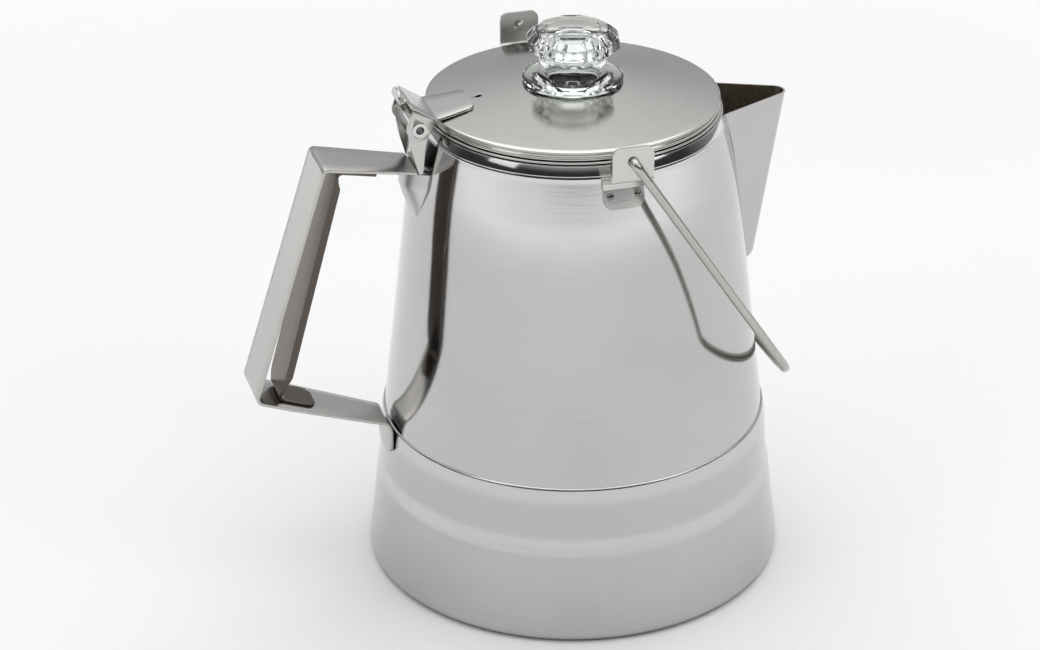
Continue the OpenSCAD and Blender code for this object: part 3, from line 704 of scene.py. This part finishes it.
def leaf_half(p):
    """Half width of the leaf along its line: the thumb tab, the sloping part and the tapered plate."""
    tab_x, tab_half, wide = -75.2, 5.5, 13.1
    if p.x < tab_x:
        top = min(1.0, max(0.0, (p.y - 229.7) / 3.5)) if p.x > -79 else 0.0
        return tab_half - 3.5 * (1 - math.sqrt(1 - top * top))
    if p.x < LEAF_BEND:
        return tab_half + (wide - tab_half) * min(1.0, (p.x - tab_x) / 0.7) ** 0.5
    tip = min(1.0, max(0.0, (p.x + 50.1) / 3.8))
    return wide - 3.2 * (p.x - LEAF_BEND) / 18 - 3.8 * (1 - math.sqrt(1 - tip * tip))


def drape(x, y):
    """How far the leaf's edge falls with the dome under it."""
    if x <= LEAF_BEND:
        return 0.0
    return 0.5 * min(1.0, (x - LEAF_BEND) / 6) * (dome_z(math.hypot(x, y)) - dome_z(abs(x)))


def cheek(side):
    """A cheek of the leaf, with a soft outer edge, on one side of the hinge."""
    centre = Vector((-71.0, 220.5))
    outline = [(-73.9, 228.3), (-64.9, 222.6), (-64.4, 221.9), (-65.4, 220.0), (-66.6, 217.6),
               (-67.1, 216.9), (-76.9, 221.2), (-76.2, 223.6), (-75.0, 226.6)]
    turns = [math.radians(k * 15) for k in range(-12, 13)]
    outline += [(HINGE_X + 5.4 * math.cos(t), HINGE_Z + 5.4 * math.sin(t)) for t in turns
                if not -0.42 < t < 2.75]
    points = sorted((Vector(p) - centre for p in set(outline)), key=lambda v: -math.atan2(v.y, v.x))
    rings = []
    for y, inset in ((11.95, 0.0), (12.85, 0.0), (13.02, 0.08), (13.1, 0.25)):
        inner = [centre + v * (1 - inset / v.length) for v in points]
        rings.append([(q.x, side * y, q.y) for q in inner])
    return loft(rings)


def lid_leaf():
    """The moving leaf: a plate on the dome, two cheeks on the pin and a curled thumb tab."""
    line = resample(rounded([(-78.1, 233.2), (-78.9, 227.2), (-75.2, 229.3), (LEAF_BEND, 222.1),
                             (LEAF_END, dome_z(-LEAF_END) + 0.65)], [0, 1.2, 1.8, 2.2, 0], 10), 0.8)
    plate = strip(line, 1.15, leaf_half)
    verts, faces = loft([[(x, y, z + drape(x, y)) for x, y, z in ring] for ring in plate])
    for side in (-1, 1):
        more_verts, more_faces = cheek(side)
        faces += [[len(verts) + k for k in face] for face in more_faces]
        verts += more_verts
    leaf = make("lid_leaf_sheet", verts, faces, "lid", HINGE, ["lid_leaf"], "hinge_steel", angle=40)
    for side in (-1, 1):
        cut(leaf, [cutter("pin_hole", *bar((HINGE_X, side * 12.5 - 2, HINGE_Z), 2.45, 4, 1))])


lid_leaf()


def lid_lip():
    """The lip that rests on the rim, and the skirt that drops into the mouth."""
    skirt = [(59.6, 207), (60.3, 207), (60.5, 207.3), (60.5, 215.2), (60.9, 215.75), (63.9, 215.75)]
    bead = arc(63.75, 216.32, 0.5, -60, 80, 8)
    back = [(62.0, 216.95), (60.2, 216.95), (59.6, 216.4)]
    make("lid_lip", *revolve(skirt + bead + back), "lid", LID, ["lid_skirt"], "lid_steel", angle=40)


lid_lip()

# ---------------------------------------------------------------- glass knob


def knob_mesh():
    """The bayonet barrel, flange, neck and twelve-sided crown, hollow from below, and the two lugs."""
    barrel = [(14.0, 220.5, 0), (14.3, 220.62, 0), (14.4, 220.95, 0), (14.4, 224, 0), (14.4, 227.5, 0)]
    flange = [(14.6, 227.6, 0), (21.0, 227.6, 0), (21.5, 227.75, 0), (21.85, 228.2, 0), (21.9, 228.9, 0),
              (21.7, 229.7, 0), (21.0, 230.25, 0), (19.8, 230.5, 0), (17.5, 230.7, 0), (15.6, 231.3, 0)]
    neck = [(14.8, 232.4, 0), (14.6, 234.5, 0), (14.6, 237.2, 0), (14.9, 238.6, 0.3), (16.4, 240.6, 0.8)]
    crown = [(18.6, 242.2, 1), (20.2, 243.3, 1), (20.4, 243.7, 1), (20.4, 247.3, 1), (20.2, 247.7, 1),
             (17.0, 250.6, 1), (16.2, 251.1, 1), (15.2, 251.45, 0.8), (13.6, 251.5, 0.4),
             (12.2, 251.35, 0.1), (11.3, 250.6, 0), (8.5, 249.9, 0), (4, 249.55, 0), (0, 249.5, 0)]
    hollow = [(0, 244.6, 0), (4, 244.4, 0), (7, 243.7, 0), (9.4, 242, 0), (10.8, 239.5, 0),
              (11.2, 236.5, 0), (11.2, 228, 0), (11.2, 221, 0), (11.5, 220.5, 0)]
    verts, faces = revolve(barrel + flange + neck + crown + hollow, segments=96, facets=12)
    for s in (-1, 1):
        lug = [(s * x, s * y) for x, y in ((13.9, -2.2), (16.7, -2.0), (16.7, 2.0), (13.9, 2.2))]
        faces += [[len(verts) + k for k in f] for f in BOX_FACES]
        verts += box(lug, 223.5, 226.1)
    return verts, faces


make("knob_glass", *knob_mesh(), "knob", GLASS, ["knob"], "knob_glass", angle=12)

# ---------------------------------------------------------------- bail


def bail_wire():
    """One wire: hook, leg, corner, arch and back, laid out in its own plane and then leant to its rest."""
    hook = 3.0
    half = math.atan(0.75)
    corner_u = LEG_Y - BAIL_CORNER
    arch_r = BAIL_CORNER + corner_u / math.sin(half)
    arch_s = BAIL_REACH - arch_r
    corner_s = arch_s + corner_u / math.tan(half)
    rise = 90 - math.degrees(half)
    side = [(76.4, 0), (77.4, 0), (LEG_Y - hook, 0)] + arc(LEG_Y - hook, hook, hook, -90, 0, 8)[1:]
    side += [(LEG_Y, hook + (corner_s - hook) * k / 12) for k in range(1, 13)]
    side += arc(corner_u, corner_s, BAIL_CORNER, 0, rise, 12)[1:]
    arch = arc(0, arch_s, arch_r, rise, 180 - rise, 48)[1:-1]
    flat = side + arch + [(-u, s) for u, s in reversed(side)]
    path = [(s * math.sin(BAIL_REST), u, PIVOT_Z - s * math.cos(BAIL_REST)) for u, s in flat]
    make("bail_wire", *loft(tube(path, 2.0)), "bail", WIRE, ["bail"], "wire_steel", angle=50)


bail_wire()

# ---------------------------------------------------------------- carried-over CAD nodes

KEPT = {
    "hinge_bracket": (HINGE, 0.22), "hinge_pin": (PIN, 0.15),
    "ear_near": (EAR, 0.25), "ear_far": (EAR, 0.25), "ear_rivets": (RIVET, 0.1),
    "stem_tube": (PUMP, 0.0), "stem_foot": (PUMP, 0.2), "stem_collar": (PUMP, 0.3),
    "basket": (BASKET, 0.0), "basket_cover": (BASKET, 0.0),
}
for node, (material, bevel) in KEPT.items():
    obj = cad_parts[node]
    for s in obj.material_slots:
        s.link = "OBJECT"
        s.material = material
    if bevel:
        mod = obj.modifiers.new("edge", "BEVEL")
        mod.width = bevel * MM
        mod.segments = 2
        mod.limit_method = "ANGLE"
        mod.angle_limit = math.radians(40)
        mod.harden_normals = True

# ---------------------------------------------------------------- stage


def stage_material():
    """Pale matt floor that glows more away from the object, painted light like a lit sweep."""
    mat = bpy.data.materials.new("pale_floor")
    mat.use_nodes = True
    n = Nodes(mat.node_tree)
    bsdf = mat.node_tree.nodes["Principled BSDF"]
    coord = n.add("ShaderNodeTexCoord").outputs["Object"]
    noise = n.add("ShaderNodeTexNoise", Vector=coord, Scale=3.0, Detail=3.0).outputs["Fac"]
    pale = n.ramp(noise, ((0.3, (0.93, 0.93, 0.93)), (0.7, (0.95, 0.95, 0.95))))
    mat.node_tree.links.new(pale, bsdf.inputs["Base Color"])
    bsdf.inputs["Roughness"].default_value = 0.8
    x, y, _ = n.add("ShaderNodeSeparateXYZ", Vector=coord).outputs
    far = n.math("SQRT", n.math("ADD", n.math("MULTIPLY", x, x), n.math("MULTIPLY", y, y)))
    # painted light: the floor glows, more with distance from the object
    bsdf.inputs["Emission Color"].default_value = (1.0, 1.0, 1.0, 1.0)
    mat.node_tree.links.new(n.span(far, 0.5, 2.2, 0.0, 0.55), bsdf.inputs["Emission Strength"])
    return mat


FLOOR = 8.0  # half of the floor's side, in metres
floor_mesh = bpy.data.meshes.new("floor")
floor_corners = [(-FLOOR, -FLOOR, 0), (FLOOR, -FLOOR, 0), (FLOOR, FLOOR, 0), (-FLOOR, FLOOR, 0)]
floor_mesh.from_pydata(floor_corners, [], [(0, 1, 2, 3)])
floor = bpy.data.objects.new("floor", floor_mesh)
bpy.context.collection.objects.link(floor)
floor_mesh.materials.append(stage_material())

AZIMUTH, ELEVATION = math.radians(-17.9), math.radians(27.6)
TO_CAMERA = Vector((math.sin(AZIMUTH) * math.cos(ELEVATION), -math.cos(AZIMUTH) * math.cos(ELEVATION),
                    math.sin(ELEVATION)))


def area(name, place, size, power):
    """A square softbox aimed at the middle of the pot."""
    data = bpy.data.lights.new(name, "AREA")
    data.size = size
    data.energy = power
    obj = bpy.data.objects.new(name, data)
    obj.location = place
    obj.rotation_euler = (Vector((0, 0, 0.1)) - Vector(place)).to_track_quat("-Z", "Y").to_euler()
    bpy.context.collection.objects.link(obj)


area("overhead_softbox", (0.1, 0.3, 2.1), 2.4, 15.5)
area("front_right_softbox", (1.5, -1.5, 1.6), 1.0, 5.0)
area("left_softbox", (-1.8, -0.6, 1.3), 0.8, 2.5)

# a soft pool of light on the floor in front, which the pot's wall reflects
pool = bpy.data.lights.new("front_spot", "SPOT")
pool.energy = 7.0
pool.spot_size = math.radians(26)
pool.spot_blend = 1.0
pool.shadow_soft_size = 0.25
pool_lamp = bpy.data.objects.new("front_spot", pool)
pool_lamp.location = (TO_CAMERA.x * 0.9, TO_CAMERA.y * 0.9, 1.9)
bpy.context.collection.objects.link(pool_lamp)

world = bpy.data.worlds.new("studio")
bpy.context.scene.world = world
world.use_nodes = True
world.node_tree.nodes.clear()
# bright overhead, dimmer at the horizon behind the pot and dark there on the camera's side
w = Nodes(world.node_tree)
direction = w.add("ShaderNodeTexCoord").outputs["Generated"]
dx, dy, dz = w.add("ShaderNodeSeparateXYZ", Vector=direction).outputs
front = w.math("ADD", w.math("MULTIPLY", dx, math.sin(AZIMUTH)), w.math("MULTIPLY", dy, -math.cos(AZIMUTH)))
horizon = w.span(front, -0.8, 0.1, 0.46, 0.045)
dark_to = w.span(front, -0.8, 0.1, 0.12, 0.34)
value = w.span(dz, dark_to, 0.80, horizon, 0.95)
sky = w.add("ShaderNodeBackground", Strength=1.0)
tint = w.add("ShaderNodeCombineColor", Red=value, Green=value, Blue=value)
world.node_tree.links.new(tint.outputs[0], sky.inputs["Color"])
world.node_tree.links.new(sky.outputs[0], w.add("ShaderNodeOutputWorld").inputs["Surface"])

camera_data = bpy.data.cameras.new("camera")
camera_data.lens = 100.73
camera_data.sensor_width = 36.0
camera_data.shift_x = -0.05077
camera_data.shift_y = 0.01635
camera = bpy.data.objects.new("camera", camera_data)
camera.location = Vector((0, 0, 0.1)) + TO_CAMERA * 1.312
camera.rotation_euler = (-TO_CAMERA).to_track_quat("-Z", "Y").to_euler()
bpy.context.collection.objects.link(camera)
bpy.context.scene.camera = camera
bpy.context.scene.view_settings.view_transform = "Standard"
